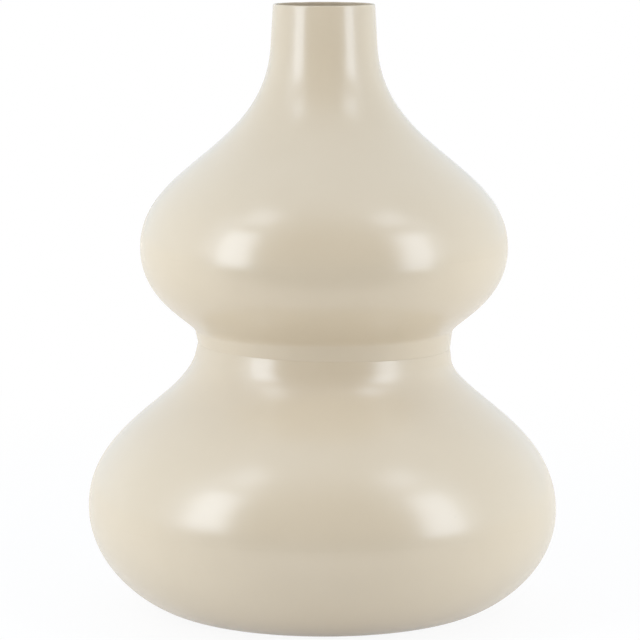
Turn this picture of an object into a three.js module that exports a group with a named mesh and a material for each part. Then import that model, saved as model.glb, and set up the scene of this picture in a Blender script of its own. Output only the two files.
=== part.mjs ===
// A double-gourd metal vase: four spun shells that nest at three seams, soldered inside and standing on felt.
// Millimetres, +Z up. The axis of the vase is the Z axis, and its felt rests on z = 0.
import * as THREE from 'three';

// Outside of the vase, from the mouth down: radii, and heights that stack on one another.
const MOUTH_RADIUS = 25.9;
const NECK_LENGTH = 20.8;
const NECK_ROOT_RADIUS = 27.1;
const UPPER_SHOULDER_HEIGHT = 102.8;
const UPPER_RADIUS = 93.8;
const UPPER_BOWL_HEIGHT = 42.9;
const UPPER_COLLAR_RADIUS = 65.7;
const UPPER_COLLAR_HEIGHT = 7.2;
const SEAM_RADIUS = 64.5;
const LOWER_COLLAR_HEIGHT = 5.7;
const LOWER_COLLAR_RADIUS = 65.5;
const LOWER_SHOULDER_HEIGHT = 78.1;
const LOWER_RADIUS = 120.2;
const LOWER_BOWL_HEIGHT = 52;
const FOOT_RADIUS = 74.5;

// How long each curve keeps the direction of its upper and lower end, as a share of its own height or width.
const UPPER_SHOULDER_EASE = { top: 0.53, bottom: 0.42 };
const UPPER_BOWL_EASE = { top: 0.64, bottom: 0.135 };
const LOWER_SHOULDER_EASE = { top: 0.28, bottom: 0.54 };
const LOWER_BOWL_EASE = { top: 0.63, bottom: 0.26 };

// Sheet, and the nested laps at the seams.
const WALL = 0.9;
const SEAM_GAP = 0.3;
const LAP_GAP = 0.3;
const EQUATOR_LAP = 6;
const JOGGLE_LENGTH = 4;

// Solder fillets below the edges of the laps.
const SOLDER_GAP = 0.3;
const SOLDER_LEG = 2.5;

// Felt disc in a recess of the bottom.
const FOOT_RIM_WIDTH = 8;
const RECESS_DEPTH = 1;
const FELT_PROUD = 0.5;
const FELT_CLEARANCE = 0.5;
const GLUE_GAP = 0.3;

// Facets round the axis, and steps along the curves.
const AROUND = 48;
const CURVE_STEPS = 10;
const LAP_STEPS = 2;
const RIM_STEPS = 4;
const SAME_POINT = 1e-6;

// Heights of the outline's turning points above the surface that the vase stands on.
const footZ = FELT_PROUD;
const lowerEquatorZ = footZ + LOWER_BOWL_HEIGHT;
const lowerCollarZ = lowerEquatorZ + LOWER_SHOULDER_HEIGHT;
const waistSeamZ = lowerCollarZ + LOWER_COLLAR_HEIGHT;
const upperCollarZ = waistSeamZ + UPPER_COLLAR_HEIGHT;
const upperEquatorZ = upperCollarZ + UPPER_BOWL_HEIGHT;
const neckRootZ = upperEquatorZ + UPPER_SHOULDER_HEIGHT;
const mouthZ = neckRootZ + NECK_LENGTH;

// A lap lies inside the next shell's wall, between these depths below the outside of the vase.
const lapOutside = WALL + LAP_GAP;
const lapInside = lapOutside + WALL;

const recessRadius = FOOT_RADIUS - FOOT_RIM_WIDTH;
const recessZ = footZ + RECESS_DEPTH;

const point = (radius, z) => new THREE.Vector2(radius, z);

// A curve down from one steep wall to another. The flares are how fast the two walls widen on the way down.
function ogee(start, end, ease, topFlare = 0, bottomFlare = 0) {
  const topHandle = ease.top * (start.y - end.y);
  const bottomHandle = ease.bottom * (start.y - end.y);
  const leave = point(start.x + topFlare * topHandle, start.y - topHandle);
  const arrive = point(end.x - bottomFlare * bottomHandle, end.y + bottomHandle);
  return new THREE.CubicBezierCurve(start, leave, arrive, end);
}

// A curve down from an upright wall that turns in to a flat foot.
function turnToFoot(start, end, ease) {
  const leave = point(start.x, start.y - ease.top * (start.y - end.y));
  const arrive = point(end.x + ease.bottom * (start.x - end.x), end.y);
  return new THREE.CubicBezierCurve(start, leave, arrive, end);
}

const neckRoot = point(NECK_ROOT_RADIUS, neckRootZ);
const upperEquator = point(UPPER_RADIUS, upperEquatorZ);
const upperCollarTop = point(UPPER_COLLAR_RADIUS, upperCollarZ);
const waistSeam = point(SEAM_RADIUS, waistSeamZ);
const lowerCollarEnd = point(LOWER_COLLAR_RADIUS, lowerCollarZ);
const lowerEquator = point(LOWER_RADIUS, lowerEquatorZ);
const footEdge = point(FOOT_RADIUS, footZ);

// The outside of the vase as curves that run downwards. The neck starts below the round of its rim.
const neck = new THREE.LineCurve(point(MOUTH_RADIUS, mouthZ - WALL / 2), neckRoot);
const neckFlare = (NECK_ROOT_RADIUS - MOUTH_RADIUS) / NECK_LENGTH;
const upperShoulder = ogee(neckRoot, upperEquator, UPPER_SHOULDER_EASE, neckFlare);
const upperCollarFlare = (SEAM_RADIUS - UPPER_COLLAR_RADIUS) / UPPER_COLLAR_HEIGHT;
const upperBowl = ogee(upperEquator, upperCollarTop, UPPER_BOWL_EASE, 0, upperCollarFlare);
const upperCollar = new THREE.LineCurve(upperCollarTop, waistSeam);
const lowerCollar = new THREE.LineCurve(waistSeam, lowerCollarEnd);
const lowerCollarFlare = (LOWER_COLLAR_RADIUS - SEAM_RADIUS) / LOWER_COLLAR_HEIGHT;
const lowerShoulder = ogee(lowerCollarEnd, lowerEquator, LOWER_SHOULDER_EASE, lowerCollarFlare);
const lowerBowl = turnToFoot(lowerEquator, footEdge, LOWER_BOWL_EASE);

// Points that lie a depth inside a curve, between two distances along it.
function along(curve, depth, steps, from = 0, to = curve.getLength()) {
  const first = curve.getUtoTmapping(0, from);
  const last = curve.getUtoTmapping(0, to);
  const points = [];
  for (let step = 0; step <= steps; step += 1) {
    const t = first + (last - first) * step / steps;
    const tangent = curve.getTangent(t);
    const inward = point(tangent.y, -tangent.x);
    points.push(curve.getPoint(t).addScaledVector(inward, depth));
  }
  return points;
}

const reversed = (points) => [...points].reverse();

// Turns a section about the Z axis. It runs clockwise, down the outside and up the inside, with the axis left.
// It starts and ends on the axis, or else it closes on its first point.
function turned(section) {
  const loop = section[0].x > 0 ? [...section, section[0].clone()] : section;
  const distinct = loop.filter((here, index) => index === 0 || here.distanceTo(loop[index - 1]) > SAME_POINT);
  const geometry = new THREE.LatheGeometry(reversed(distinct), AROUND);
  geometry.rotateX(Math.PI / 2);
  return geometry;
}

// The two faces of a lap that goes on below a seam, inside the wall of the next shell.
function lapSection(nextCurve, length) {
  const outside = along(nextCurve, lapOutside, LAP_STEPS, 0, length);
  const inside = along(nextCurve, lapInside, LAP_STEPS, 0, length);
  return [...outside, ...reversed(inside)];
}

// The round of the mouth's rim, from its inside over the top to its outside.
function rimSection() {
  const radius = WALL / 2;
  const arc = new THREE.EllipseCurve(MOUTH_RADIUS - radius, mouthZ - radius, radius, radius, Math.PI, 0, true);
  return arc.getPoints(RIM_STEPS);
}

// Mouth, neck and upper shoulder. The wall steps in over the joggle to its lap inside the upper bowl.
function neckShell() {
  const joggleTop = upperShoulder.getLength() - JOGGLE_LENGTH;
  return turned([
    ...along(neck, 0, 1),
    ...along(upperShoulder, 0, CURVE_STEPS),
    ...lapSection(upperBowl, EQUATOR_LAP),
    ...reversed(along(upperShoulder, WALL, CURVE_STEPS, 0, joggleTop)),
    ...rimSection(),
  ]);
}

// Underside of the upper bulb. Over its height the collar steps in to a spigot that lines the lower collar.
function upperBowlShell() {
  return turned([
    ...along(upperBowl, 0, CURVE_STEPS, SEAM_GAP),
    ...along(upperCollar, 0, 1),
    ...lapSection(lowerCollar, lowerCollar.getLength()),
    ...reversed(along(upperBowl, WALL, CURVE_STEPS, SEAM_GAP)),
  ]);
}

// Lower collar and lower shoulder, which steps in like the upper one to its lap inside the lower bowl.
function lowerShoulderShell() {
  const joggleTop = lowerShoulder.getLength() - JOGGLE_LENGTH;
  return turned([
    ...along(lowerCollar, 0, 1, SEAM_GAP),
    ...along(lowerShoulder, 0, CURVE_STEPS),
    ...lapSection(lowerBowl, EQUATOR_LAP),
    ...reversed(along(lowerShoulder, WALL, CURVE_STEPS, 0, joggleTop)),
    ...reversed(along(lowerCollar, WALL, 1, SEAM_GAP)),
  ]);
}

// Lower bowl with its bottom pressed up inside the rim of the foot, as a recess for the felt.
function lowerBowlShell() {
  return turned([
    point(0, recessZ + WALL),
    point(recessRadius + WALL, recessZ + WALL),
    point(recessRadius + WALL, footZ + WALL),
    ...reversed(along(lowerBowl, WALL, CURVE_STEPS, SEAM_GAP)),
    ...along(lowerBowl, 0, CURVE_STEPS, SEAM_GAP),
    point(recessRadius, footZ),
    point(recessRadius, recessZ),
    point(0, recessZ),
  ]);
}

// A fillet in the corner between the lower edge of a lap and the wall below it.
function solderRing(curve, lapLength) {
  const top = lapLength + SOLDER_GAP;
  const bottom = top + SOLDER_LEG;
  const wall = along(curve, WALL + SOLDER_GAP, LAP_STEPS, top, bottom);
  const [lapCorner] = along(curve, lapInside, 1, top, bottom);
  return turned([...wall, lapCorner]);
}

function feltDisc() {
  const radius = recessRadius - FELT_CLEARANCE;
  const top = recessZ - GLUE_GAP;
  return turned([point(0, top), point(radius, top), point(radius, 0), point(0, 0)]);
}

const lacquer = () => new THREE.MeshStandardMaterial({ color: '#ddd1ba', roughness: 0.28, metalness: 0 });
const solder = () => new THREE.MeshStandardMaterial({ color: '#8d8c88', roughness: 0.45, metalness: 1 });
const felt = () => new THREE.MeshStandardMaterial({ color: '#3b352f', roughness: 1, metalness: 0 });

const vase = new THREE.Group();

function addPiece(name, geometry, material) {
  const mesh = new THREE.Mesh(geometry, material);
  mesh.name = name;
  vase.add(mesh);
}

addPiece('neck_shell', neckShell(), lacquer());
addPiece('upper_bowl', upperBowlShell(), lacquer());
addPiece('lower_shoulder', lowerShoulderShell(), lacquer());
addPiece('lower_bowl', lowerBowlShell(), lacquer());
addPiece('base_felt', feltDisc(), felt());
addPiece('upper_seam_solder', solderRing(upperBowl, EQUATOR_LAP), solder());
addPiece('waist_solder', solderRing(lowerShoulder, 0), solder());
addPiece('lower_seam_solder', solderRing(lowerBowl, EQUATOR_LAP), solder());

export default vase;
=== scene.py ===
"""A double-gourd metal vase under a cream lacquer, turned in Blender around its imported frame.

Lengths are in metres and +Z is up. The axis of the vase is the Z axis, and its felt rests on z = 0.
"""

import logging
import math
from dataclasses import asdict, dataclass, fields, replace
from enum import Enum
from functools import cache
from itertools import accumulate
from typing import ClassVar, Sequence

import bpy
from bpy.types import Material, Mesh, Node, NodeSocket, NodeTree, Object, World, bpy_prop_collection
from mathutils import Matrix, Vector


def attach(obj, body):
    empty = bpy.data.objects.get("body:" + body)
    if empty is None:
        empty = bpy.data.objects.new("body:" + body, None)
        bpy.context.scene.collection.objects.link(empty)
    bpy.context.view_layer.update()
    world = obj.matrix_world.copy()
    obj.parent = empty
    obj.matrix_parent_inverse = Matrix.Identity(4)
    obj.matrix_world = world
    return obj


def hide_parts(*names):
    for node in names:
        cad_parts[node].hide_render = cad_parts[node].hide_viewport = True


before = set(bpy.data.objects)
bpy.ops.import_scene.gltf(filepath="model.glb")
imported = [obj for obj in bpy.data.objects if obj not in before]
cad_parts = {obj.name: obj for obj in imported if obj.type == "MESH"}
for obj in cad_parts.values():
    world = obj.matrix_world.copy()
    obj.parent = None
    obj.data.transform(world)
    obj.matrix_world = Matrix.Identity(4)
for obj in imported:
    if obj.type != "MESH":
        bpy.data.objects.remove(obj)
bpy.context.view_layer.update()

log = logging.getLogger("vase")

MM = 0.001
BODY = "root"
INSIDE = "inside"
ALONG = "along"
Colour = tuple[float, float, float]
WHITE: Colour = (1.0, 1.0, 1.0)


class Slot(Enum):
    """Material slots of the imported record."""

    LACQUER = "lacquered_metal"
    FELT = "felt"
    SOLDER = "solder"


class Side(Enum):
    """Side of the sheet that a point of a section lies on, as the value of the piece's attribute."""

    OUTER = 0.0
    INNER = 1.0


@dataclass(frozen=True)
class SectionPoint:
    """A point of a section in the plane of radius and height.

    Attributes:
        place: Radius and height.
        inside: 0 on the outer side of the sheet and 1 on its inner side.
    """

    place: Vector
    inside: float


Section = list[SectionPoint]


def on_side(places: Sequence[Vector], side: Side) -> Section:
    """Puts places, which are radii and heights, on one side of the sheet."""
    return [SectionPoint(place, side.value) for place in places]


def eased(steps: int, first: float = 0.0, last: float = 1.0) -> list[float]:
    """Spaces shares so that they crowd together at both ends, where a seam or a corner may be.

    Args:
        steps: Number of steps between the shares.
        first: First share.
        last: Last share.

    Returns:
        The shares, one more than the steps.
    """
    spans = [(1 - math.cos(math.pi * step / steps)) / 2 for step in range(steps + 1)]
    return [first + (last - first) * span for span in spans]


def rounded(before: Vector, corner: Vector, after: Vector, radius: float, steps: int = 5) -> list[Vector]:
    """Rounds a corner of a section.

    Args:
        before: A place on the way to the corner.
        corner: The sharp corner.
        after: A place on the way on from it.
        radius: How far from the corner the round starts and ends.
        steps: Number of steps along the round.

    Returns:
        Places along the round, in the same order.
    """
    start = corner + (before - corner).normalized() * radius
    end = corner + (after - corner).normalized() * radius
    places = []
    for step in range(steps + 1):
        share = step / steps
        places.append((1 - share) ** 2 * start + 2 * share * (1 - share) * corner + share ** 2 * end)
    return places


@dataclass(frozen=True)
class Curve:
    """A cubic curve in the plane of radius and height, which runs downwards along the outside of the vase.

    Attributes:
        start: Upper end.
        leave: Handle of the upper end.
        arrive: Handle of the lower end.
        end: Lower end.
    """

    start: Vector
    leave: Vector
    arrive: Vector
    end: Vector
    chords: ClassVar[int] = 400

    @classmethod
    def line(cls, start: Vector, end: Vector) -> "Curve":
        """Makes a straight run between two places."""
        return cls(start, start.lerp(end, 1 / 3), start.lerp(end, 2 / 3), end)

    def point(self, share: float) -> Vector:
        """Gives a place on the curve.

        Args:
            share: Share of the way down.

        Returns:
            Its radius and height.
        """
        rest = 1 - share
        ends = rest ** 3 * self.start + share ** 3 * self.end
        return ends + 3 * rest ** 2 * share * self.leave + 3 * rest * share ** 2 * self.arrive

    def inward(self, share: float) -> Vector:
        """Gives the direction into the vase.

        Args:
            share: Share of the way down.

        Returns:
            The direction, one unit long.
        """
        rest = 1 - share
        down = rest ** 2 * (self.leave - self.start) + share ** 2 * (self.end - self.arrive)
        down += 2 * rest * share * (self.arrive - self.leave)
        down.normalize()
        return Vector((down.y, -down.x))

    def length(self) -> float:
        """Measures the curve from end to end."""
        places = [self.point(step / self.chords) for step in range(self.chords + 1)]
        return sum((after - before).length for before, after in zip(places, places[1:]))

    def share_at(self, distance: float) -> float:
        """Finds a place by its distance from the upper end.

        Args:
            distance: Distance along the curve.

        Returns:
            The share of the way down, as point() takes it.
        """
        gone = 0.0
        before = self.start
        for step in range(1, self.chords + 1):
            after = self.point(step / self.chords)
            stride = (after - before).length
            if gone + stride >= distance:
                return (step - 1 + (distance - gone) / stride) / self.chords
            gone += stride
            before = after
        return 1.0

    def at_depth(self, depth: float, shares: Sequence[float]) -> list[Vector]:
        """Gives places that lie a depth inside the curve, at shares of the way down."""
        return [self.point(share) + depth * self.inward(share) for share in shares]


@dataclass(frozen=True)
class Ease:
    """How long a curve keeps the direction of its ends, as a share of its own height or width."""

    top: float
    bottom: float


@dataclass(frozen=True)
class Outline:
    """Outside of the vase from the mouth down: radii, and heights that stack on one another."""

    mouth_radius: float = 25.9 * MM
    neck_length: float = 20.8 * MM
    neck_root_radius: float = 27.1 * MM
    upper_shoulder_height: float = 102.8 * MM
    upper_radius: float = 93.8 * MM
    upper_bowl_height: float = 42.9 * MM
    upper_collar_radius: float = 65.7 * MM
    upper_collar_height: float = 7.2 * MM
    seam_radius: float = 64.5 * MM
    lower_collar_height: float = 5.7 * MM
    lower_collar_radius: float = 65.5 * MM
    lower_shoulder_height: float = 78.1 * MM
    lower_radius: float = 120.2 * MM
    lower_bowl_height: float = 52.0 * MM
    foot_radius: float = 74.5 * MM
    foot_rim_width: float = 8.0 * MM
    recess_depth: float = 1.0 * MM
    felt_proud: float = 0.5 * MM
    upper_shoulder_ease: Ease = Ease(0.53, 0.42)
    upper_bowl_ease: Ease = Ease(0.64, 0.135)
    lower_shoulder_ease: Ease = Ease(0.28, 0.54)
    lower_bowl_ease: Ease = Ease(0.63, 0.26)

    @property
    def foot_z(self) -> float:
        """Height of the foot's rim above the surface that the felt rests on."""
        return self.felt_proud

    @property
    def recess_radius(self) -> float:
        """Radius of the recess that is pressed into the bottom."""
        return self.foot_radius - self.foot_rim_width

    @property
    def recess_z(self) -> float:
        """Height of the recess's roof."""
        return self.foot_z + self.recess_depth

    @property
    def lower_equator_z(self) -> float:
        """Height of the lower bulb's widest place."""
        return self.foot_z + self.lower_bowl_height

    @property
    def lower_collar_z(self) -> float:
        """Height at which the lower shoulder leaves its collar."""
        return self.lower_equator_z + self.lower_shoulder_height

    @property
    def seam_z(self) -> float:
        """Height of the waist seam."""
        return self.lower_collar_z + self.lower_collar_height

    @property
    def upper_collar_z(self) -> float:
        """Height at which the upper bowl reaches its collar."""
        return self.seam_z + self.upper_collar_height

    @property
    def upper_equator_z(self) -> float:
        """Height of the upper bulb's widest place."""
        return self.upper_collar_z + self.upper_bowl_height

    @property
    def neck_root_z(self) -> float:
        """Height at which the shoulder leaves the neck."""
        return self.upper_equator_z + self.upper_shoulder_height

    @property
    def mouth_z(self) -> float:
        """Height of the rim."""
        return self.neck_root_z + self.neck_length

    @staticmethod
    def ogee(start: Vector, end: Vector, ease: Ease, top_flare: float, bottom_flare: float) -> Curve:
        """Draws a curve down from one steep wall to another.

        Args:
            start: Upper end.
            end: Lower end.
            ease: Lengths of the two handles.
            top_flare: How fast the wall above widens on the way down.
            bottom_flare: How fast the wall below widens on the way down.

        Returns:
            The curve.
        """
        top_handle = ease.top * (start.y - end.y)
        bottom_handle = ease.bottom * (start.y - end.y)
        leave = start + Vector((top_flare * top_handle, -top_handle))
        arrive = end + Vector((-bottom_flare * bottom_handle, bottom_handle))
        return Curve(start, leave, arrive, end)

    @property
    def neck(self) -> Curve:
        """Neck from the mouth to its root."""
        mouth = Vector((self.mouth_radius, self.mouth_z))
        return Curve.line(mouth, Vector((self.neck_root_radius, self.neck_root_z)))

    @property
    def upper_shoulder(self) -> Curve:
        """Shoulder from the neck to the upper bulb's widest place."""
        flare = (self.neck_root_radius - self.mouth_radius) / self.neck_length
        end = Vector((self.upper_radius, self.upper_equator_z))
        return self.ogee(self.neck.end, end, self.upper_shoulder_ease, flare, 0.0)

    @property
    def upper_bowl(self) -> Curve:
        """Underside of the upper bulb down to its collar."""
        flare = (self.seam_radius - self.upper_collar_radius) / self.upper_collar_height
        end = Vector((self.upper_collar_radius, self.upper_collar_z))
        return self.ogee(self.upper_shoulder.end, end, self.upper_bowl_ease, 0.0, flare)

    @property
    def upper_collar(self) -> Curve:
        """Upper cone of the waist, which narrows to the seam."""
        return Curve.line(self.upper_bowl.end, Vector((self.seam_radius, self.seam_z)))

    @property
    def lower_collar(self) -> Curve:
        """Lower cone of the waist, which widens from the seam."""
        return Curve.line(self.upper_collar.end, Vector((self.lower_collar_radius, self.lower_collar_z)))

    @property
    def lower_shoulder(self) -> Curve:
        """Shoulder from the waist to the lower bulb's widest place."""
        flare = (self.lower_collar_radius - self.seam_radius) / self.lower_collar_height
        end = Vector((self.lower_radius, self.lower_equator_z))
        return self.ogee(self.lower_collar.end, end, self.lower_shoulder_ease, flare, 0.0)

    @property
    def lower_bowl(self) -> Curve:
        """Bottom half of the lower bulb, which turns in to the foot."""
        start = self.lower_shoulder.end
        end = Vector((self.foot_radius, self.foot_z))
        leave = start - Vector((0.0, self.lower_bowl_ease.top * self.lower_bowl_height))
        arrive = end + Vector((self.lower_bowl_ease.bottom * (self.lower_radius - self.foot_radius), 0.0))
        return Curve(start, leave, arrive, end)


@dataclass(frozen=True)
class Sheet:
    """The metal sheet, the laps by which one shell sits in the next, and the steps along each run.

    Attributes:
        wall: Thickness of the sheet.
        lap_gap: Gap between a lap and the wall round it.
        equator_lap: Length of the laps at the bulbs' widest places.
        joggle: Length over which a wall steps in to its lap.
        hairline: Gap at the seams of the two bulbs.
        seam_gap: Gap at the waist seam.
        seam_round: Round of the edges at the waist seam.
        edge_round: Round of the edges underneath.
    """

    wall: float = 0.9 * MM
    lap_gap: float = 0.3 * MM
    equator_lap: float = 6.0 * MM
    joggle: float = 4.0 * MM
    hairline: float = 0.01 * MM
    seam_gap: float = 0.01 * MM
    seam_round: float = 0.06 * MM
    edge_round: float = 0.25 * MM
    curve_steps: int = 96
    inner_steps: int = 48
    neck_steps: int = 12
    inner_neck_steps: int = 8
    collar_steps: int = 10
    inner_collar_steps: int = 4
    lap_steps: int = 6
    rim_steps: int = 14

    @property
    def lap_outside(self) -> float:
        """Depth of a lap's outer face below the outside of the vase."""
        return self.wall + self.lap_gap

    @property
    def lap_inside(self) -> float:
        """Depth of a lap's inner face below the outside of the vase."""
        return self.lap_outside + self.wall

    def lap(self, curve: Curve, length: float) -> list[Vector]:
        """Draws a lap that goes down inside the next shell: its outer face, and its inner face back up."""
        shares = eased(self.lap_steps, 0.0, curve.share_at(length))
        return curve.at_depth(self.lap_outside, shares) + curve.at_depth(self.lap_inside, shares[::-1])


class NodeSketch:
    """Adds nodes to a tree and joins their sockets."""

    def __init__(self, tree: NodeTree) -> None:
        """Keeps the tree that the nodes go into."""
        self.tree = tree

    def fill(self, socket: NodeSocket, value: object) -> None:
        """Fills an input.

        Args:
            socket: The input.
            value: A socket to join it to, or else a colour or another value.
        """
        if isinstance(value, NodeSocket):
            self.tree.links.new(value, socket)
        elif isinstance(value, tuple):
            socket.default_value = (*value, 1.0)
        else:
            socket.default_value = value

    def add(self, kind: str, inputs: dict | None = None, **settings: object) -> Node:
        """Adds a node.

        Args:
            kind: Type name of the node.
            inputs: Values or sockets by the name or number of the node's inputs.
            settings: Properties of the node.

        Returns:
            The node.
        """
        node = self.tree.nodes.new(kind)
        for name, value in settings.items():
            setattr(node, name, value)
        for key, value in (inputs or {}).items():
            self.fill(node.inputs[key], value)
        return node

    def out(self, kind: str, inputs: dict | None = None, **settings: object) -> NodeSocket:
        """Adds a node as add() does, and gives its first output."""
        return self.add(kind, inputs, **settings).outputs[0]

    def math(self, operation: str, *values: object) -> NodeSocket:
        """Adds a Math node for numbers or sockets, and gives its result."""
        return self.out("ShaderNodeMath", dict(enumerate(values)), operation=operation)

    def split(self, vector: NodeSocket) -> bpy_prop_collection:
        """Gives the X, Y and Z of a vector."""
        return self.add("ShaderNodeSeparateXYZ", {0: vector}).outputs

    def ramp(self, value: NodeSocket, start: object, end: object, low: float, high: float) -> NodeSocket:
        """Adds a Map Range node that runs smoothly from one value to another and stays there.

        Args:
            value: What the ramp follows.
            start: Where it begins.
            end: Where it ends.
            low: Result at the beginning.
            high: Result at the end.

        Returns:
            Its result.
        """
        inputs = {"Value": value, "From Min": start, "From Max": end, "To Min": low, "To Max": high}
        return self.out("ShaderNodeMapRange", inputs, interpolation_type="SMOOTHSTEP")

    def blend(self, share: NodeSocket, first: object, second: object) -> NodeSocket:
        """Adds a Mix node, of which inputs 6 and 7 and output 2 are the ones for colours.

        Args:
            share: Share of the second colour.
            first: A colour or a socket.
            second: A colour or a socket.

        Returns:
            The mixed colour.
        """
        node = self.add("ShaderNodeMix", {0: share}, data_type="RGBA")
        self.fill(node.inputs[6], first)
        self.fill(node.inputs[7], second)
        return node.outputs[2]


@dataclass(frozen=True)
class Truth:
    """How far the real vase strays from a true turned form.

    Attributes:
        seam_z: Height of the waist seam.
        lean: Slope of the waist seam across the vase.
        lean_above: Height above the seam over which the slope dies away.
        lean_below: Height below the seam over which the slope dies away.
        sway: How far the top of the lower bulb stands to one side.
        sway_start: Height at which the lower bulb begins to stray.
        sway_full: Height at which it has strayed fully.
        sway_hold: Height up to which it stays there.
        sway_back: Height at which the vase has come back to its axis.
    """

    seam_z: float
    lean: float = -0.022
    lean_above: float = 7.0 * MM
    lean_below: float = 24.0 * MM
    sway: float = -1.25 * MM
    sway_start: float = 10.0 * MM
    sway_full: float = 80.0 * MM
    sway_hold: float = 118.0 * MM
    sway_back: float = 138.0 * MM


@dataclass(frozen=True)
class Ripple:
    """Unevenness that a piece gets on top of its turned form.

    Attributes:
        ripple_height: Distance from the lowest to the highest place.
        ripple_size: Distance from one swell to the next.
        ripple_seed: Picks the pattern.
    """

    ripple_height: float = 0.0
    ripple_size: float = 20.0 * MM
    ripple_seed: float = 0.0


class Lathe:
    """Geometry Nodes that turn a section about the Z axis, built once and used for every piece."""

    same_place: ClassVar[float] = 0.001 * MM
    sharp_angle: ClassVar[float] = math.radians(40.0)

    def __init__(self, truth: Truth) -> None:
        """Builds the tree.

        Args:
            truth: How far the vase strays from a true turned form.
        """
        self.truth = truth
        self.tree = bpy.data.node_groups.new("turned_about_axis", "GeometryNodeTree")
        self.sockets: dict[str, str] = {}
        self._declare()
        self._wire()

    def _declare(self) -> None:
        kinds = {"section": "NodeSocketGeometry", "facets": "NodeSocketInt", "finish": "NodeSocketMaterial"}
        for size in (*fields(Truth), *fields(Ripple)):
            kinds[size.name] = "NodeSocketFloat"
        for name, kind in kinds.items():
            socket = self.tree.interface.new_socket(name=name, in_out="INPUT", socket_type=kind)
            self.sockets[name] = socket.identifier
        self.tree.interface.new_socket(name="piece", in_out="OUTPUT", socket_type="NodeSocketGeometry")

    def _wire(self) -> None:
        """Adds the nodes: a grid is bent round the axis along the section, closed, strayed and finished."""
        sketch = NodeSketch(self.tree)
        given = sketch.add("NodeGroupInput").outputs
        size = sketch.add("GeometryNodeAttributeDomainSize", {"Geometry": given["section"]})
        count = size.outputs["Point Count"]
        around = sketch.math("ADD", given["facets"], 1)
        unit = {"Size X": 1.0, "Size Y": 1.0, "Vertices X": around, "Vertices Y": count}
        shape = sketch.out("GeometryNodeMeshGrid", unit)
        place = sketch.out("GeometryNodeInputPosition")
        across = sketch.split(place)
        angle = sketch.math("MULTIPLY", sketch.math("ADD", across["X"], 0.5), math.tau)
        last = sketch.math("SUBTRACT", count, 1)
        along = sketch.math("MULTIPLY", sketch.math("ADD", across["Y"], 0.5), last)
        index = sketch.out("FunctionNodeFloatToInt", {0: along}, rounding_mode="ROUND")
        sample = {"Geometry": given["section"], "Value": place, "Index": index}
        section = sketch.split(sketch.out("GeometryNodeSampleIndex", sample, data_type="FLOAT_VECTOR"))
        turned = sketch.out("ShaderNodeCombineXYZ", {
            "X": sketch.math("MULTIPLY", section["X"], sketch.math("COSINE", angle)),
            "Y": sketch.math("MULTIPLY", section["X"], sketch.math("SINE", angle)),
            "Z": section["Z"],
        })
        for name in (INSIDE, ALONG):
            value = sketch.out("GeometryNodeInputNamedAttribute", {"Name": name}, data_type="FLOAT")
            sample = {"Geometry": given["section"], "Value": value, "Index": index}
            mark = sketch.out("GeometryNodeSampleIndex", sample, data_type="FLOAT")
            store = {"Geometry": shape, "Name": name, "Value": mark}
            shape = sketch.out("GeometryNodeStoreNamedAttribute", store, data_type="FLOAT")
        shape = sketch.out("GeometryNodeSetPosition", {"Geometry": shape, "Position": turned})
        shape = sketch.out("GeometryNodeMergeByDistance", {"Geometry": shape, "Distance": self.same_place})
        for offset in (self._ripple(sketch, given), self._stray(sketch, given)):
            shape = sketch.out("GeometryNodeSetPosition", {"Geometry": shape, "Offset": offset})
        shape = sketch.out("GeometryNodeSetShadeSmooth", {"Geometry": shape})
        shape = sketch.out("GeometryNodeRealizeInstances", {"Geometry": shape})
        shape = sketch.out("GeometryNodeSetMaterial", {"Geometry": shape, "Material": given["finish"]})
        sketch.add("NodeGroupOutput", {"piece": shape})

    @staticmethod
    def _ripple(sketch: NodeSketch, given: bpy_prop_collection) -> NodeSocket:
        """Adds an uneven swell along the surface's own direction.

        Args:
            sketch: The tree that the nodes go into.
            given: The tree's inputs.

        Returns:
            The offset of each point.
        """
        scale = sketch.math("DIVIDE", 1.0, given["ripple_size"])
        inputs = {"Scale": scale, "W": given["ripple_seed"], "Detail": 1.0}
        noise = sketch.out("ShaderNodeTexNoise", inputs, noise_dimensions="4D")
        swell = sketch.math("MULTIPLY", sketch.math("SUBTRACT", noise, 0.5), given["ripple_height"])
        normal = sketch.out("GeometryNodeInputNormal")
        return sketch.out("ShaderNodeVectorMath", {0: normal, "Scale": swell}, operation="SCALE")

    @staticmethod
    def _stray(sketch: NodeSketch, given: bpy_prop_collection) -> NodeSocket:
        """Adds the lean of the waist seam and the sway of the lower bulb.

        Args:
            sketch: The tree that the nodes go into.
            given: The tree's inputs.

        Returns:
            The offset of each point.
        """
        at = sketch.split(sketch.out("GeometryNodeInputPosition"))
        above = sketch.math("SUBTRACT", at["Z"], given["seam_z"])
        below = sketch.math("SUBTRACT", given["seam_z"], at["Z"])
        under = sketch.ramp(above, 0.0, given["lean_above"], 1.0, 0.0)
        over = sketch.ramp(below, 0.0, given["lean_below"], 1.0, 0.0)
        near = sketch.math("MULTIPLY", under, over)
        lift = sketch.math("MULTIPLY", sketch.math("MULTIPLY", at["X"], near), given["lean"])
        rise = sketch.ramp(at["Z"], given["sway_start"], given["sway_full"], 0.0, 1.0)
        back = sketch.ramp(at["Z"], given["sway_hold"], given["sway_back"], 1.0, 0.0)
        shift = sketch.math("MULTIPLY", sketch.math("MULTIPLY", rise, back), given["sway"])
        return sketch.out("ShaderNodeCombineXYZ", {"X": shift, "Z": lift})

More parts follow.
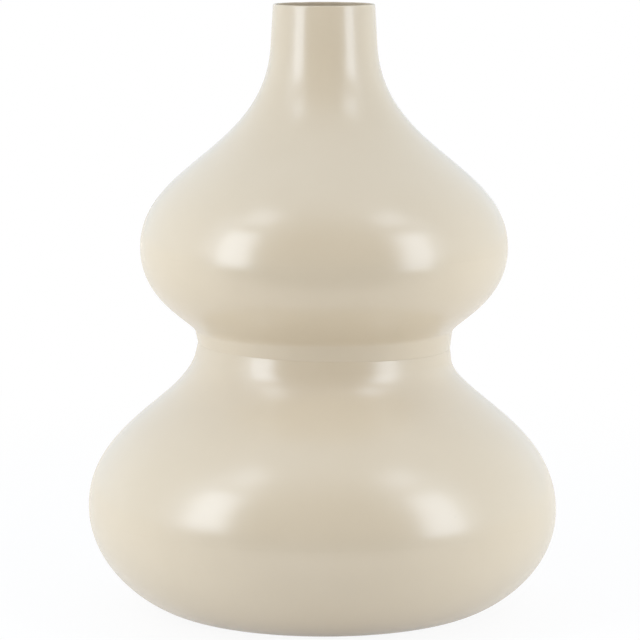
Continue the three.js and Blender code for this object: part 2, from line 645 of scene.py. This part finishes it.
    @staticmethod
    def _drawn(name: str, section: Section) -> Mesh:
        """Draws a section as a run of edges, which starts inside where it closes on itself.

        Args:
            name: Name of the mesh.
            section: Points down the outside and up the inside.

        Returns:
            The edges, with attributes for the side of the sheet and the distance along the section.
        """
        points = section[::-1]
        if points[0].place.x > 0:
            first = max(range(len(points)), key=lambda index: (points[index].inside, -points[index].place.y))
            points = points[first:] + points[:first + 1]
        strides = [(after.place - before.place).length for before, after in zip(points, points[1:])]
        marks = {
            INSIDE: [point.inside for point in points],
            ALONG: list(accumulate(strides, initial=0.0)),
        }
        drawn = bpy.data.meshes.new(name)
        edges = [(index, index + 1) for index in range(len(strides))]
        drawn.from_pydata([(point.place.x, 0.0, point.place.y) for point in points], edges, [])
        for mark, values in marks.items():
            drawn.attributes.new(mark, "FLOAT", "POINT").data.foreach_set("value", values)
        return drawn

    def turn(self, name: str, section: Section, finish: Material, facets: int, ripple: Ripple) -> Object:
        """Turns a section into a plain mesh.

        Args:
            name: Name of the piece.
            section: Points that close on the first, or begin and end on the axis.
            finish: Material of the piece.
            facets: Number of facets round the axis.
            ripple: Unevenness of the surface.

        Returns:
            The piece, at the origin and with no modifier.
        """
        drawn = self._drawn(name, section)
        piece = bpy.data.objects.new(name, drawn)
        bpy.context.scene.collection.objects.link(piece)
        modifier = piece.modifiers.new("lathe", "NODES")
        modifier.node_group = self.tree
        values = {"facets": facets, "finish": finish, **asdict(self.truth), **asdict(ripple)}
        for size, value in values.items():
            modifier[self.sockets[size]] = value
        evaluated = piece.evaluated_get(bpy.context.evaluated_depsgraph_get())
        made = bpy.data.meshes.new_from_object(evaluated)
        piece.modifiers.remove(modifier)
        piece.data = made
        bpy.data.meshes.remove(drawn)
        made.name = name
        made.materials.clear()
        made.materials.append(finish)
        made.set_sharp_from_angle(angle=self.sharp_angle)
        return piece


class ShaderGroups:
    """Shader effects of the finishes, each built once as a node group."""

    speck_core: ClassVar[float] = 0.5
    line_detail: ClassVar[float] = 3.0

    @staticmethod
    def _start(name: str, output: str, *inputs: str) -> tuple[NodeSketch, bpy_prop_collection]:
        """Starts a node group.

        Args:
            name: Name of the group.
            output: Name of its one output, a value.
            inputs: Names of its inputs, all values apart from Vector.

        Returns:
            A sketch of the group, and its inputs.
        """
        tree = bpy.data.node_groups.new(name, "ShaderNodeTree")
        for label in inputs:
            kind = "NodeSocketVector" if label == "Vector" else "NodeSocketFloat"
            tree.interface.new_socket(name=label, in_out="INPUT", socket_type=kind)
        tree.interface.new_socket(name=output, in_out="OUTPUT", socket_type="NodeSocketFloat")
        sketch = NodeSketch(tree)
        return sketch, sketch.add("NodeGroupInput").outputs

    @staticmethod
    @cache
    def grain() -> NodeTree:
        """Builds an even grain in all directions, such as orange peel, drift or pile.

        Returns:
            The group.
        """
        sketch, given = ShaderGroups._start("surface_grain", "Height", "Vector", "Size", "Detail")
        scale = sketch.math("DIVIDE", 1.0, given["Size"])
        inputs = {"Vector": given["Vector"], "Scale": scale, "Detail": given["Detail"]}
        sketch.add("NodeGroupOutput", {"Height": sketch.out("ShaderNodeTexNoise", inputs)})
        return sketch.tree

    @staticmethod
    @cache
    def turning_lines() -> NodeTree:
        """Builds fine uneven lines round the axis, which the spinning of the sheet leaves.

        Returns:
            The group.
        """
        sketch, given = ShaderGroups._start("turning_lines", "Height", "Along", "Spacing")
        scale = sketch.math("DIVIDE", 1.0, given["Spacing"])
        inputs = {"W": given["Along"], "Scale": scale, "Detail": ShaderGroups.line_detail}
        noise = sketch.out("ShaderNodeTexNoise", inputs, noise_dimensions="1D")
        sketch.add("NodeGroupOutput", {"Height": noise})
        return sketch.tree

    @staticmethod
    @cache
    def specks() -> NodeTree:
        """Builds small round specks, such as dust under a lacquer or flecks in felt.

        Returns:
            The group.
        """
        sketch, given = ShaderGroups._start("scattered_specks", "Mask", "Vector", "Spacing", "Radius")
        scale = sketch.math("DIVIDE", 1.0, given["Spacing"])
        away = sketch.out("ShaderNodeTexVoronoi", {"Vector": given["Vector"], "Scale": scale})
        reach = sketch.math("MULTIPLY", given["Radius"], scale)
        shown = sketch.ramp(sketch.math("DIVIDE", away, reach), ShaderGroups.speck_core, 1.0, 1.0, 0.0)
        sketch.add("NodeGroupOutput", {"Mask": shown})
        return sketch.tree


class FinishSketch(NodeSketch):
    """A material under way, with its shader, its output and Object coordinates in place."""

    noise_low: ClassVar[float] = 0.3
    noise_high: ClassVar[float] = 0.7

    def __init__(self, name: str) -> None:
        """Starts the material.

        Args:
            name: Name of the material.
        """
        self.material = bpy.data.materials.new(name)
        self.material.use_nodes = True
        super().__init__(self.material.node_tree)
        self.shader = self.tree.nodes["Principled BSDF"]
        self.output = self.tree.nodes["Material Output"]
        self.coordinates = self.add("ShaderNodeTexCoord").outputs["Object"]

    def effect(self, group: NodeTree, **values: float) -> NodeSocket:
        """Places a shared effect on Object coordinates, or on the distance along the section.

        Args:
            group: The effect's node group.
            values: Its inputs by name.

        Returns:
            The effect's result.
        """
        node = self.add("ShaderNodeGroup", values, node_tree=group)
        if "Vector" in node.inputs:
            self.fill(node.inputs["Vector"], self.coordinates)
        if "Along" in node.inputs:
            self.fill(node.inputs["Along"], self.attribute(ALONG))
        return node.outputs[0]

    def attribute(self, name: str) -> NodeSocket:
        """Reads an attribute that the lathe left on the piece."""
        return self.add("ShaderNodeAttribute", attribute_name=name).outputs["Fac"]

    def spread(self, noise: NodeSocket, low: float = 0.0, high: float = 1.0) -> NodeSocket:
        """Stretches the range in which most of a noise lies over two values."""
        return self.ramp(noise, self.noise_low, self.noise_high, low, high)

    def bump(self, *heights: tuple[NodeSocket, float]) -> None:
        """Raises the surface by several heights at once.

        Args:
            heights: Results from 0 to 1, each with its height in metres.
        """
        total: object = 0.0
        for height, metres in heights:
            total = self.math("MULTIPLY_ADD", height, metres / MM, total)
        self.feed("Normal", self.out("ShaderNodeBump", {"Height": total, "Distance": MM, "Strength": 1.0}))

    def feed(self, name: str, value: object) -> None:
        """Fills an input of the shader."""
        self.fill(self.shader.inputs[name], value)


@dataclass(frozen=True)
class Lacquer:
    """Cream satin-gloss lacquer outside, fading inside the neck to grey primer.

    Attributes:
        gloss: Roughness of the lacquer, from its glossier places to its duller ones.
        overspray_top: Height inside the neck down to which the lacquer covers the primer.
        overspray_end: Height below which only primer is left.
        overspray_stray: How far those heights stray.
    """

    cream: Colour = (0.661, 0.553, 0.399)
    cream_deep: Colour = (0.649, 0.541, 0.387)
    speck: Colour = (0.44, 0.38, 0.29)
    primer: Colour = (0.20, 0.19, 0.175)
    primer_pale: Colour = (0.27, 0.255, 0.235)
    gloss: tuple[float, float] = (0.225, 0.26)
    primer_roughness: float = 0.62
    refraction: float = 1.63
    drift_size: float = 45.0 * MM
    peel_size: float = 1.6 * MM
    peel_height: float = 0.0006 * MM
    line_spacing: float = 2.2 * MM
    line_height: float = 0.0003 * MM
    speck_spacing: float = 30.0 * MM
    speck_radius: float = 0.35 * MM
    speck_height: float = 0.01 * MM
    speck_share: float = 0.5
    overspray_top: float = 306.0 * MM
    overspray_end: float = 235.0 * MM
    overspray_stray: float = 40.0 * MM

    def build(self) -> Material:
        """Builds the material.

        Returns:
            The lacquer.
        """
        sketch = FinishSketch("cream_lacquer")
        drift = sketch.effect(ShaderGroups.grain(), Size=self.drift_size, Detail=3.0)
        peel = sketch.effect(ShaderGroups.grain(), Size=self.peel_size, Detail=1.0)
        lines = sketch.effect(ShaderGroups.turning_lines(), Spacing=self.line_spacing)
        specks = sketch.effect(ShaderGroups.specks(), Spacing=self.speck_spacing, Radius=self.speck_radius)
        cream = sketch.blend(sketch.spread(drift), self.cream, self.cream_deep)
        outside = sketch.blend(sketch.math("MULTIPLY", specks, self.speck_share), cream, self.speck)
        primer = sketch.blend(lines, self.primer, self.primer_pale)
        height = sketch.split(sketch.coordinates)["Z"]
        uneven = sketch.math("MULTIPLY_ADD", drift, self.overspray_stray, height)
        deep = sketch.ramp(uneven, self.overspray_end, self.overspray_top, 1.0, 0.0)
        bare = sketch.math("MULTIPLY", sketch.attribute(INSIDE), deep)
        sketch.feed("Base Color", sketch.blend(bare, outside, primer))
        gloss = sketch.spread(drift, *self.gloss)
        dull = sketch.math("SUBTRACT", self.primer_roughness, gloss)
        sketch.feed("Roughness", sketch.math("MULTIPLY_ADD", bare, dull, gloss))
        sketch.feed("IOR", self.refraction)
        sketch.bump((peel, self.peel_height), (lines, self.line_height), (specks, self.speck_height))
        return sketch.material


@dataclass(frozen=True)
class Solder:
    """Dull grey soft solder with a slightly grained skin."""

    bright: Colour = (0.48, 0.47, 0.45)
    dull: Colour = (0.30, 0.295, 0.285)
    roughness: tuple[float, float] = (0.38, 0.6)
    drift_size: float = 6.0 * MM
    drift_height: float = 0.1 * MM
    frost_size: float = 0.7 * MM
    frost_height: float = 0.02 * MM

    def build(self) -> Material:
        """Builds the material.

        Returns:
            The solder.
        """
        sketch = FinishSketch("soft_solder")
        drift = sketch.effect(ShaderGroups.grain(), Size=self.drift_size, Detail=3.0)
        frost = sketch.effect(ShaderGroups.grain(), Size=self.frost_size, Detail=2.0)
        sketch.feed("Base Color", sketch.blend(sketch.spread(drift), self.bright, self.dull))
        sketch.feed("Roughness", sketch.spread(frost, *self.roughness))
        sketch.feed("Metallic", 1.0)
        sketch.bump((frost, self.frost_height), (drift, self.drift_height))
        return sketch.material


@dataclass(frozen=True)
class Felt:
    """Dense dark felt with a matted pile and paler flecks."""

    pile: Colour = (0.045, 0.038, 0.031)
    pile_pale: Colour = (0.085, 0.074, 0.062)
    fleck: Colour = (0.18, 0.16, 0.135)
    roughness: tuple[float, float] = (0.9, 1.0)
    sheen: float = 0.35
    sheen_roughness: float = 0.5
    mat_size: float = 1.4 * MM
    mat_height: float = 0.25 * MM
    fibre_size: float = 0.25 * MM
    fibre_height: float = 0.12 * MM
    fleck_spacing: float = 5.0 * MM
    fleck_radius: float = 0.4 * MM
    fleck_share: float = 0.6

    def build(self) -> Material:
        """Builds the material.

        Returns:
            The felt.
        """
        sketch = FinishSketch("dark_felt")
        matted = sketch.effect(ShaderGroups.grain(), Size=self.mat_size, Detail=6.0)
        fibres = sketch.effect(ShaderGroups.grain(), Size=self.fibre_size, Detail=3.0)
        flecks = sketch.effect(ShaderGroups.specks(), Spacing=self.fleck_spacing, Radius=self.fleck_radius)
        pile = sketch.blend(sketch.spread(matted), self.pile, self.pile_pale)
        flecked = sketch.math("MULTIPLY", flecks, self.fleck_share)
        sketch.feed("Base Color", sketch.blend(flecked, pile, self.fleck))
        sketch.feed("Roughness", sketch.spread(fibres, *self.roughness))
        sketch.feed("Sheen Weight", self.sheen)
        sketch.feed("Sheen Roughness", self.sheen_roughness)
        sketch.bump((matted, self.mat_height), (fibres, self.fibre_height))
        return sketch.material


@dataclass
class TurnedPiece:
    """A piece of the vase that is turned from one section.

    Attributes:
        outline: Outside of the vase.
        sheet: The metal sheet and its laps.
        finish: Material of the piece.
    """

    outline: Outline
    sheet: Sheet
    finish: Material
    name: ClassVar[str]
    node: ClassVar[str]
    slot: ClassVar[Slot] = Slot.LACQUER
    facets: ClassVar[int] = 192
    ripple: ClassVar[Ripple] = Ripple()

    def section(self) -> Section:
        """Draws the section of the piece, down the outside and up the inside."""
        raise NotImplementedError

    def build(self, lathe: Lathe) -> Object:
        """Turns the piece and puts it in the place of its CAD node.

        Args:
            lathe: The lathe that turns it.

        Returns:
            The piece.
        """
        piece = lathe.turn(self.name, self.section(), self.finish, self.facets, self.ripple)
        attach(piece, BODY)
        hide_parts(self.node)
        return piece


@dataclass
class NeckShell(TurnedPiece):
    """Mouth, neck and upper shoulder. The wall steps in at its lower edge to a lap inside the upper bowl."""

    name: ClassVar[str] = "neck_and_shoulder"
    node: ClassVar[str] = "neck_shell"

    def rim(self) -> Section:
        """Draws the round of the rim.

        Returns:
            Points from its inside over the top to its outside.
        """
        radius = self.sheet.wall / 2
        middle = Vector((self.outline.mouth_radius - radius, self.outline.mouth_z - radius))
        points = []
        for step in range(self.sheet.rim_steps + 1):
            angle = math.pi * (1 - step / self.sheet.rim_steps)
            place = middle + radius * Vector((math.cos(angle), math.sin(angle)))
            points.append(SectionPoint(place, angle / math.pi))
        return points

    def section(self) -> Section:
        """Draws the section.

        Returns:
            Neck, shoulder and lap, and the inner side up to the rim.
        """
        sheet = self.sheet
        shoulder = self.outline.upper_shoulder
        neck = self.outline.neck
        first = neck.share_at(sheet.wall)
        joggle = shoulder.share_at(shoulder.length() - sheet.joggle)
        outer = neck.at_depth(0.0, eased(sheet.neck_steps, first, 1.0))
        outer += shoulder.at_depth(0.0, eased(sheet.curve_steps))[1:]
        inner = sheet.lap(self.outline.upper_bowl, sheet.equator_lap)
        inner += shoulder.at_depth(sheet.wall, eased(sheet.inner_steps, joggle, 0.0))
        inner += neck.at_depth(sheet.wall, eased(sheet.inner_neck_steps, 1.0, first))[1:]
        return on_side(outer, Side.OUTER) + on_side(inner, Side.INNER) + self.rim()


@dataclass
class UpperBowl(TurnedPiece):
    """Underside of the upper bulb, with its collar and a spigot that lines the lower collar."""

    name: ClassVar[str] = "upper_bowl_and_collar"
    node: ClassVar[str] = "upper_bowl"

    def section(self) -> Section:
        """Draws the section.

        Returns:
            Bowl, collar, the round of the seam and the spigot, and the inner side.
        """
        sheet = self.sheet
        bowl = self.outline.upper_bowl
        collar = self.outline.upper_collar
        top = bowl.share_at(sheet.hairline)
        low = collar.share_at(collar.length() - sheet.seam_round)
        spigot = sheet.lap(self.outline.lower_collar, self.outline.lower_collar.length())
        outer = bowl.at_depth(0.0, eased(sheet.curve_steps, top, 1.0))
        outer += collar.at_depth(0.0, eased(sheet.collar_steps, 0.0, low))[1:-1]
        outer += rounded(collar.start, collar.end, spigot[0], sheet.seam_round)
        inner = spigot + bowl.at_depth(sheet.wall, eased(sheet.inner_steps, 1.0, top))
        return on_side(outer, Side.OUTER) + on_side(inner, Side.INNER)


@dataclass
class LowerShoulder(TurnedPiece):
    """Lower collar and shoulder of the lower bulb, which steps in to a lap inside the lower bowl."""

    name: ClassVar[str] = "lower_collar_and_shoulder"
    node: ClassVar[str] = "lower_shoulder"

    def section(self) -> Section:
        """Draws the section.

        Returns:
            The round of the seam, collar, shoulder and lap, and the inner side.
        """
        sheet = self.sheet
        collar = self.outline.lower_collar
        shoulder = self.outline.lower_shoulder
        top = collar.share_at(sheet.seam_gap)
        joggle = shoulder.share_at(shoulder.length() - sheet.joggle)
        edge = collar.point(top)
        below = collar.share_at(sheet.seam_gap + sheet.seam_round)
        outer = rounded(edge + collar.inward(top) * sheet.wall, edge, collar.point(below), sheet.seam_round)
        outer += collar.at_depth(0.0, eased(sheet.collar_steps, below, 1.0))[1:]
        outer += shoulder.at_depth(0.0, eased(sheet.curve_steps))[1:]
        inner = sheet.lap(self.outline.lower_bowl, sheet.equator_lap)
        inner += shoulder.at_depth(sheet.wall, eased(sheet.inner_steps, joggle, 0.0))
        inner += collar.at_depth(sheet.wall, eased(sheet.inner_collar_steps, 1.0, top))[1:]
        return on_side(outer, Side.OUTER) + on_side(inner, Side.INNER)


@dataclass
class LowerBowl(TurnedPiece):
    """Bottom half of the lower bulb, with its bottom pressed up inside the rim of the foot."""

    name: ClassVar[str] = "lower_bowl_and_foot"
    node: ClassVar[str] = "lower_bowl"

    def section(self) -> Section:
        """Draws the section from the middle of the bottom.

        Returns:
            The inner side, bowl, rim of the foot and recess.
        """
        sheet = self.sheet
        bowl = self.outline.lower_bowl
        top = bowl.share_at(sheet.hairline)
        radius = self.outline.recess_radius
        floor = self.outline.foot_z
        roof = self.outline.recess_z
        wall = sheet.wall
        inner = [
            Vector((0.0, roof + wall)),
            Vector((radius / 2, roof + wall)),
            Vector((radius + wall, roof + wall)),
            Vector((radius + wall, floor + wall)),
        ]
        inner += bowl.at_depth(wall, eased(sheet.inner_steps, 1.0, top))
        corner = Vector((radius, floor))
        pressed = Vector((radius, roof))
        outer = bowl.at_depth(0.0, eased(sheet.curve_steps, top, 1.0))
        outer += rounded(bowl.end, corner, pressed, sheet.edge_round)
        outer += rounded(corner, pressed, Vector((0.0, roof)), sheet.edge_round)
        outer += [Vector((radius / 2, roof)), Vector((0.0, roof))]
        return on_side(inner, Side.INNER) + on_side(outer, Side.OUTER)


@dataclass
class FeltDisc(TurnedPiece):
    """Felt disc in the recess of the bottom, which the vase stands on.

    Attributes:
        clearance: Gap between the felt and the side of the recess.
        glue_gap: Gap between the felt and the roof of the recess.
        edge: Round of its edges.
    """

    name: ClassVar[str] = "felt_disc"
    node: ClassVar[str] = "base_felt"
    slot: ClassVar[Slot] = Slot.FELT
    clearance: float = 0.5 * MM
    glue_gap: float = 0.3 * MM
    edge: float = 0.35 * MM

    def section(self) -> Section:
        """Draws the section from the middle of the top.

        Returns:
            Top, soft edge and underside.
        """
        radius = self.outline.recess_radius - self.clearance
        thickness = self.outline.recess_z - self.glue_gap
        axis_top = Vector((0.0, thickness))
        top = Vector((radius, thickness))
        low = Vector((radius, 0.0))
        axis_low = Vector((0.0, 0.0))
        places = [axis_top, axis_top.lerp(top, 0.5)]
        places += rounded(axis_top, top, low, self.edge)
        places += rounded(top, low, axis_low, self.edge)
        places += [axis_low.lerp(low, 0.5), axis_low]
        return on_side(places, Side.OUTER)


@dataclass
class SolderRing(TurnedPiece):
    """A fillet in the corner between the lower edge of a lap and the wall below it.

    Attributes:
        gap: Gap between the fillet and the wall or the lap.
        leg: Length of the fillet down the wall.
        hollow: How far its face sags towards the corner, as a share of the way.
        steps: Number of steps down the wall and up the face.
    """

    slot: ClassVar[Slot] = Slot.SOLDER
    ripple: ClassVar[Ripple] = Ripple(ripple_height=0.12 * MM, ripple_size=5.0 * MM)
    gap: float = 0.3 * MM
    leg: float = 2.5 * MM
    hollow: float = 0.25
    steps: int = 8

    def wall_curve(self) -> Curve:
        """Gives the outside of the wall that the fillet lies on."""
        raise NotImplementedError

    def lap_length(self) -> float:
        """Gives how far the lap goes down that wall."""
        return self.sheet.equator_lap

    def section(self) -> Section:
        """Draws the section.

        Returns:
            The way down along the wall, and up the hollow face to the lap.
        """
        curve = self.wall_curve()
        top = curve.share_at(self.lap_length() + self.gap)
        bottom = curve.share_at(self.lap_length() + self.gap + self.leg)
        wall = curve.at_depth(self.sheet.wall + self.gap, eased(self.steps, top, bottom))
        [lap] = curve.at_depth(self.sheet.lap_inside, [top])
        corner = wall[0]
        face = []
        for step in range(1, self.steps + 1):
            share = step / self.steps
            sag = 4 * share * (1 - share) * self.hollow
            face.append(wall[-1].lerp(lap, share).lerp(corner, sag))
        return on_side(wall + face, Side.INNER)


@dataclass
class UpperSeamSolder(SolderRing):
    """Solder inside the seam of the upper bulb."""

    name: ClassVar[str] = "upper_seam_fillet"
    node: ClassVar[str] = "upper_seam_solder"
    ripple: ClassVar[Ripple] = replace(SolderRing.ripple, ripple_seed=1.0)

    def wall_curve(self) -> Curve:
        """Gives the upper bowl's outside."""
        return self.outline.upper_bowl


@dataclass
class WaistSolder(SolderRing):
    """Solder inside the waist seam."""

    name: ClassVar[str] = "waist_fillet"
    node: ClassVar[str] = "waist_solder"
    ripple: ClassVar[Ripple] = replace(SolderRing.ripple, ripple_seed=2.0)

    def wall_curve(self) -> Curve:
        """Gives the lower shoulder's outside."""
        return self.outline.lower_shoulder

    def lap_length(self) -> float:
        """Gives 0, because the spigot ends where the shoulder begins."""
        return 0.0


@dataclass
class LowerSeamSolder(SolderRing):
    """Solder inside the seam of the lower bulb."""

    name: ClassVar[str] = "lower_seam_fillet"
    node: ClassVar[str] = "lower_seam_solder"
    ripple: ClassVar[Ripple] = replace(SolderRing.ripple, ripple_seed=3.0)

    def wall_curve(self) -> Curve:
        """Gives the lower bowl's outside."""
        return self.outline.lower_bowl


@dataclass(frozen=True)
class Softbox:
    """A rectangular soft light that faces the vase.

    Attributes:
        name: Name of the light.
        azimuth: Degrees to the right of the camera, seen from the vase.
        distance: Distance of its middle from the vase's axis.
        height: Height of its middle.
        aim: Height on the vase's axis that it faces.
        width: Its width.
        length: Its height.
        radiance: Brightness of its face, where a white surface in the photograph is 1.
        tint: Colour of its light.
    """

    name: str
    azimuth: float
    distance: float
    height: float
    aim: float
    width: float
    length: float
    radiance: float
    tint: Colour = (0.90, 1.0, 1.14)

    def build(self) -> Object:
        """Makes the light.

        Returns:
            The light, which only shows in what it lights.
        """
        data = bpy.data.lights.new(self.name, "AREA")
        data.shape = "RECTANGLE"
        data.size = self.width
        data.size_y = self.length
        data.energy = self.radiance * math.pi * self.width * self.length
        data.color = self.tint
        light = bpy.data.objects.new(self.name, data)
        angle = math.radians(self.azimuth)
        light.location = (self.distance * math.sin(angle), -self.distance * math.cos(angle), self.height)
        facing = Vector((0.0, 0.0, self.aim)) - light.location
        light.rotation_euler = facing.to_track_quat("-Z", "Y").to_euler()
        light.visible_camera = False
        bpy.context.scene.collection.objects.link(light)
        return light


def whiteness(sketch: NodeSketch, place: NodeSocket, start: float, end: float) -> NodeSocket:
    """Tells how white the surroundings are, which dim on the side where the camera stands.

    Args:
        sketch: The tree that the nodes go into.
        place: Direction to the surroundings, or place on the floor.
        start: How far on the camera's side they begin to dim.
        end: How far on that side they have dimmed fully.

    Returns:
        1 for white, and down to 0 on the camera's side.
    """
    ahead = sketch.math("MULTIPLY", sketch.split(place)["Y"], -1.0)
    return sketch.ramp(ahead, start, end, 1.0, 0.0)


def backdrop(sketch: NodeSketch, path: bpy_prop_collection) -> NodeSocket:
    """Tells what the camera sees, straight or through a clear surface, from the rest."""
    return sketch.math("MAXIMUM", path["Is Camera Ray"], path["Is Transmission Ray"])


@dataclass(frozen=True)
class Tent:
    """The white tent round the vase, dim on the side where the camera stands.

    Attributes:
        white: Colour of the light from the tent's white sides.
        dim: Colour of the light from the camera's side.
        dim_start: How far a direction points to the camera's side, up to 1, where the tent begins to dim.
        dim_end: How far it points there where the tent has dimmed fully.
        ambient: Brightness of the tent as the vase's colour sees it.
    """

    white: Colour = (0.91, 1.0, 1.12)
    dim: Colour = (0.12, 0.06, 0.01)
    dim_start: float = 0.1
    dim_end: float = 0.82
    ambient: float = 0.98

    def build(self) -> World:
        """Makes the tent, which lights the vase at a plain level and is white where the camera sees it.

        Returns:
            The scene's world.
        """
        world = bpy.data.worlds.new("white_tent")
        world.use_nodes = True
        world.node_tree.nodes.clear()
        sketch = NodeSketch(world.node_tree)
        direction = sketch.add("ShaderNodeTexCoord").outputs["Generated"]
        share = whiteness(sketch, direction, self.dim_start, self.dim_end)
        colour = sketch.blend(share, self.dim, self.white)
        path = sketch.add("ShaderNodeLightPath").outputs
        strength = sketch.math("MAXIMUM", path["Is Glossy Ray"], self.ambient)
        light = sketch.out("ShaderNodeBackground", {"Color": colour, "Strength": strength})
        white = sketch.out("ShaderNodeBackground", {"Color": WHITE})
        shown = sketch.out("ShaderNodeMixShader", {0: backdrop(sketch, path), 1: light, 2: white})
        sketch.add("ShaderNodeOutputWorld", {"Surface": shown})
        bpy.context.scene.world = world
        return world


@dataclass(frozen=True)
class Floor:
    """Plain pale floor that keeps a soft shadow near the vase and fades to white around it; its colour on
    the camera's side is painted shade.

    Attributes:
        radius: Radius of the floor.
        drop: How far it lies below the felt.
        pale: Its colour, and pale_warm where it drifts.
        shade: Its colour on the camera's side, a painted shade that stands in for the dimmer light there.
        shade_start: Distance in front of the vase's axis where it begins to take on that painted shade.
        shade_end: Distance where it has taken it on fully.
        lift: Share of plain white that the camera sees at the vase, which hides all but a soft shadow.
        lift_start: Distance from the axis where that share begins to rise.
        lift_end: Distance where only white is left.
        mirror_lift: Share of plain white that the lacquer mirrors at the vase.
        mirror_start: Distance from the axis where that share begins to rise.
        mirror_end: Distance where only white is left.
    """

    radius: float = 12.0
    drop: float = 0.05 * MM
    facets: int = 96
    pale: Colour = (0.88, 0.88, 0.88)
    pale_warm: Colour = (0.87, 0.868, 0.864)
    drift_size: float = 0.4
    roughness: float = 0.9
    # Painted shade: the floor's darker colour on the camera's side, for the dimmer light there.
    shade: Colour = (0.64, 0.59, 0.52)
    shade_start: float = 0.2
    shade_end: float = 0.45
    lift: float = 0.92
    lift_start: float = 0.20
    lift_end: float = 0.75
    mirror_lift: float = 0.72
    mirror_start: float = 0.08
    mirror_end: float = 0.28

    def build(self) -> Object:
        """Makes the floor.

        Returns:
            The floor.
        """
        mesh = bpy.data.meshes.new("pale_floor")
        corners = []
        for step in range(self.facets):
            turn = math.tau * step / self.facets
            corners.append((self.radius * math.cos(turn), self.radius * math.sin(turn), -self.drop))
        mesh.from_pydata(corners, [], [list(range(self.facets))])
        mesh.materials.append(self.finish())
        floor = bpy.data.objects.new("pale_floor", mesh)
        bpy.context.scene.collection.objects.link(floor)
        return floor

    def finish(self) -> Material:
        """Builds the floor's material, which the camera sees lifted towards white.

        Returns:
            The material.
        """
        sketch = FinishSketch("pale_floor")
        drift = sketch.effect(ShaderGroups.grain(), Size=self.drift_size, Detail=2.0)
        front = whiteness(sketch, sketch.coordinates, self.shade_start, self.shade_end)
        pale = sketch.blend(drift, self.pale, self.pale_warm)
        # Painted shade: where front falls to 0, on the camera's side, the floor's colour darkens to shade
        # for the dimmer light there.
        sketch.feed("Base Color", sketch.blend(front, self.shade, pale))
        sketch.feed("Roughness", self.roughness)
        length = sketch.add("ShaderNodeVectorMath", {0: sketch.coordinates}, operation="LENGTH")
        distance = length.outputs["Value"]
        lift = sketch.ramp(distance, self.lift_start, self.lift_end, self.lift, 1.0)
        mirror = sketch.ramp(distance, self.mirror_start, self.mirror_end, self.mirror_lift, 1.0)
        path = sketch.add("ShaderNodeLightPath").outputs
        in_view = backdrop(sketch, path)
        mirrored = sketch.math("MULTIPLY", path["Is Glossy Ray"], mirror)
        share = sketch.math("MAXIMUM", sketch.math("MULTIPLY", in_view, lift), mirrored)
        strength = sketch.math("MAXIMUM", in_view, front)
        white = sketch.out("ShaderNodeEmission", {"Color": WHITE, "Strength": strength})
        mixed = sketch.out("ShaderNodeMixShader", {0: share, 1: sketch.shader.outputs[0], 2: white})
        sketch.fill(sketch.output.inputs["Surface"], mixed)
        return sketch.material


@dataclass(frozen=True)
class Studio:
    """Camera, lights, tent and floor.

    Attributes:
        distance: Distance of the camera from the vase's axis.
        height: Height of the camera.
        offset: How far the camera stands to the right of the axis.
        pitch: Degrees that the camera looks down.
        lens: Focal length in millimetres.
        sensor: Width of the film in millimetres.
        clip_end: How far the camera sees.
        softboxes: A tall key light on each side, a wider wash behind it, and a light above.
    """

    distance: float = 1.75
    height: float = 0.38232
    offset: float = -0.00205
    pitch: float = 7.604
    lens: float = 194.0
    sensor: float = 36.0
    clip_end: float = 50.0
    softboxes: tuple[Softbox, ...] = (
        Softbox(
            "key_left", azimuth=-54.5, distance=0.70, height=0.37, aim=0.37,
            width=0.265, length=0.56, radiance=3.75,
        ),
        Softbox(
            "key_right", azimuth=56.5, distance=0.70, height=0.33, aim=0.33,
            width=0.25, length=0.58, radiance=3.5,
        ),
        Softbox(
            "wash_left", azimuth=-60.0, distance=1.00, height=0.55, aim=0.30,
            width=0.70, length=1.30, radiance=0.96,
        ),
        Softbox(
            "wash_right", azimuth=60.0, distance=1.00, height=0.55, aim=0.30,
            width=0.70, length=1.30, radiance=0.72,
        ),
        Softbox(
            "top_left", azimuth=-57.0, distance=0.895, height=1.476, aim=0.16,
            width=0.42, length=0.40, radiance=2.3,
        ),
        Softbox(
            "top_right", azimuth=58.0, distance=0.94, height=1.44, aim=0.16,
            width=0.42, length=0.36, radiance=2.6,
        ),
    )

    def camera(self) -> Object:
        """Makes the camera at the photograph's viewing angle.

        Returns:
            The scene's camera.
        """
        data = bpy.data.cameras.new("camera")
        data.lens = self.lens
        data.sensor_width = self.sensor
        data.clip_end = self.clip_end
        camera = bpy.data.objects.new("camera", data)
        camera.location = (self.offset, -self.distance, self.height)
        camera.rotation_euler = (math.radians(90.0 - self.pitch), 0.0, 0.0)
        bpy.context.scene.collection.objects.link(camera)
        bpy.context.scene.camera = camera
        return camera

    def build(self) -> None:
        """Sets up the whole studio."""
        bpy.context.scene.view_settings.view_transform = "Standard"
        self.camera()
        Tent().build()
        Floor().build()
        for softbox in self.softboxes:
            softbox.build()


def main() -> None:
    """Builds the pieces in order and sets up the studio."""
    logging.basicConfig(level=logging.INFO, format="%(name)s: %(message)s")
    outline = Outline()
    sheet = Sheet()
    lathe = Lathe(Truth(outline.seam_z))
    lacquer = Lacquer().build()
    solder = Solder().build()
    felt = Felt().build()
    assembly: tuple[TurnedPiece, ...] = (
        NeckShell(outline, sheet, lacquer),
        UpperBowl(outline, sheet, lacquer),
        LowerShoulder(outline, sheet, lacquer),
        LowerBowl(outline, sheet, lacquer),
        FeltDisc(outline, sheet, felt),
        UpperSeamSolder(outline, sheet, solder),
        WaistSolder(outline, sheet, solder),
        LowerSeamSolder(outline, sheet, solder),
    )
    for part in assembly:
        piece = part.build(lathe)
        log.info("%s stands for %s with %d faces", piece.name, part.node, len(piece.data.polygons))
    Studio().build()


if __name__ == "__main__":
    main()
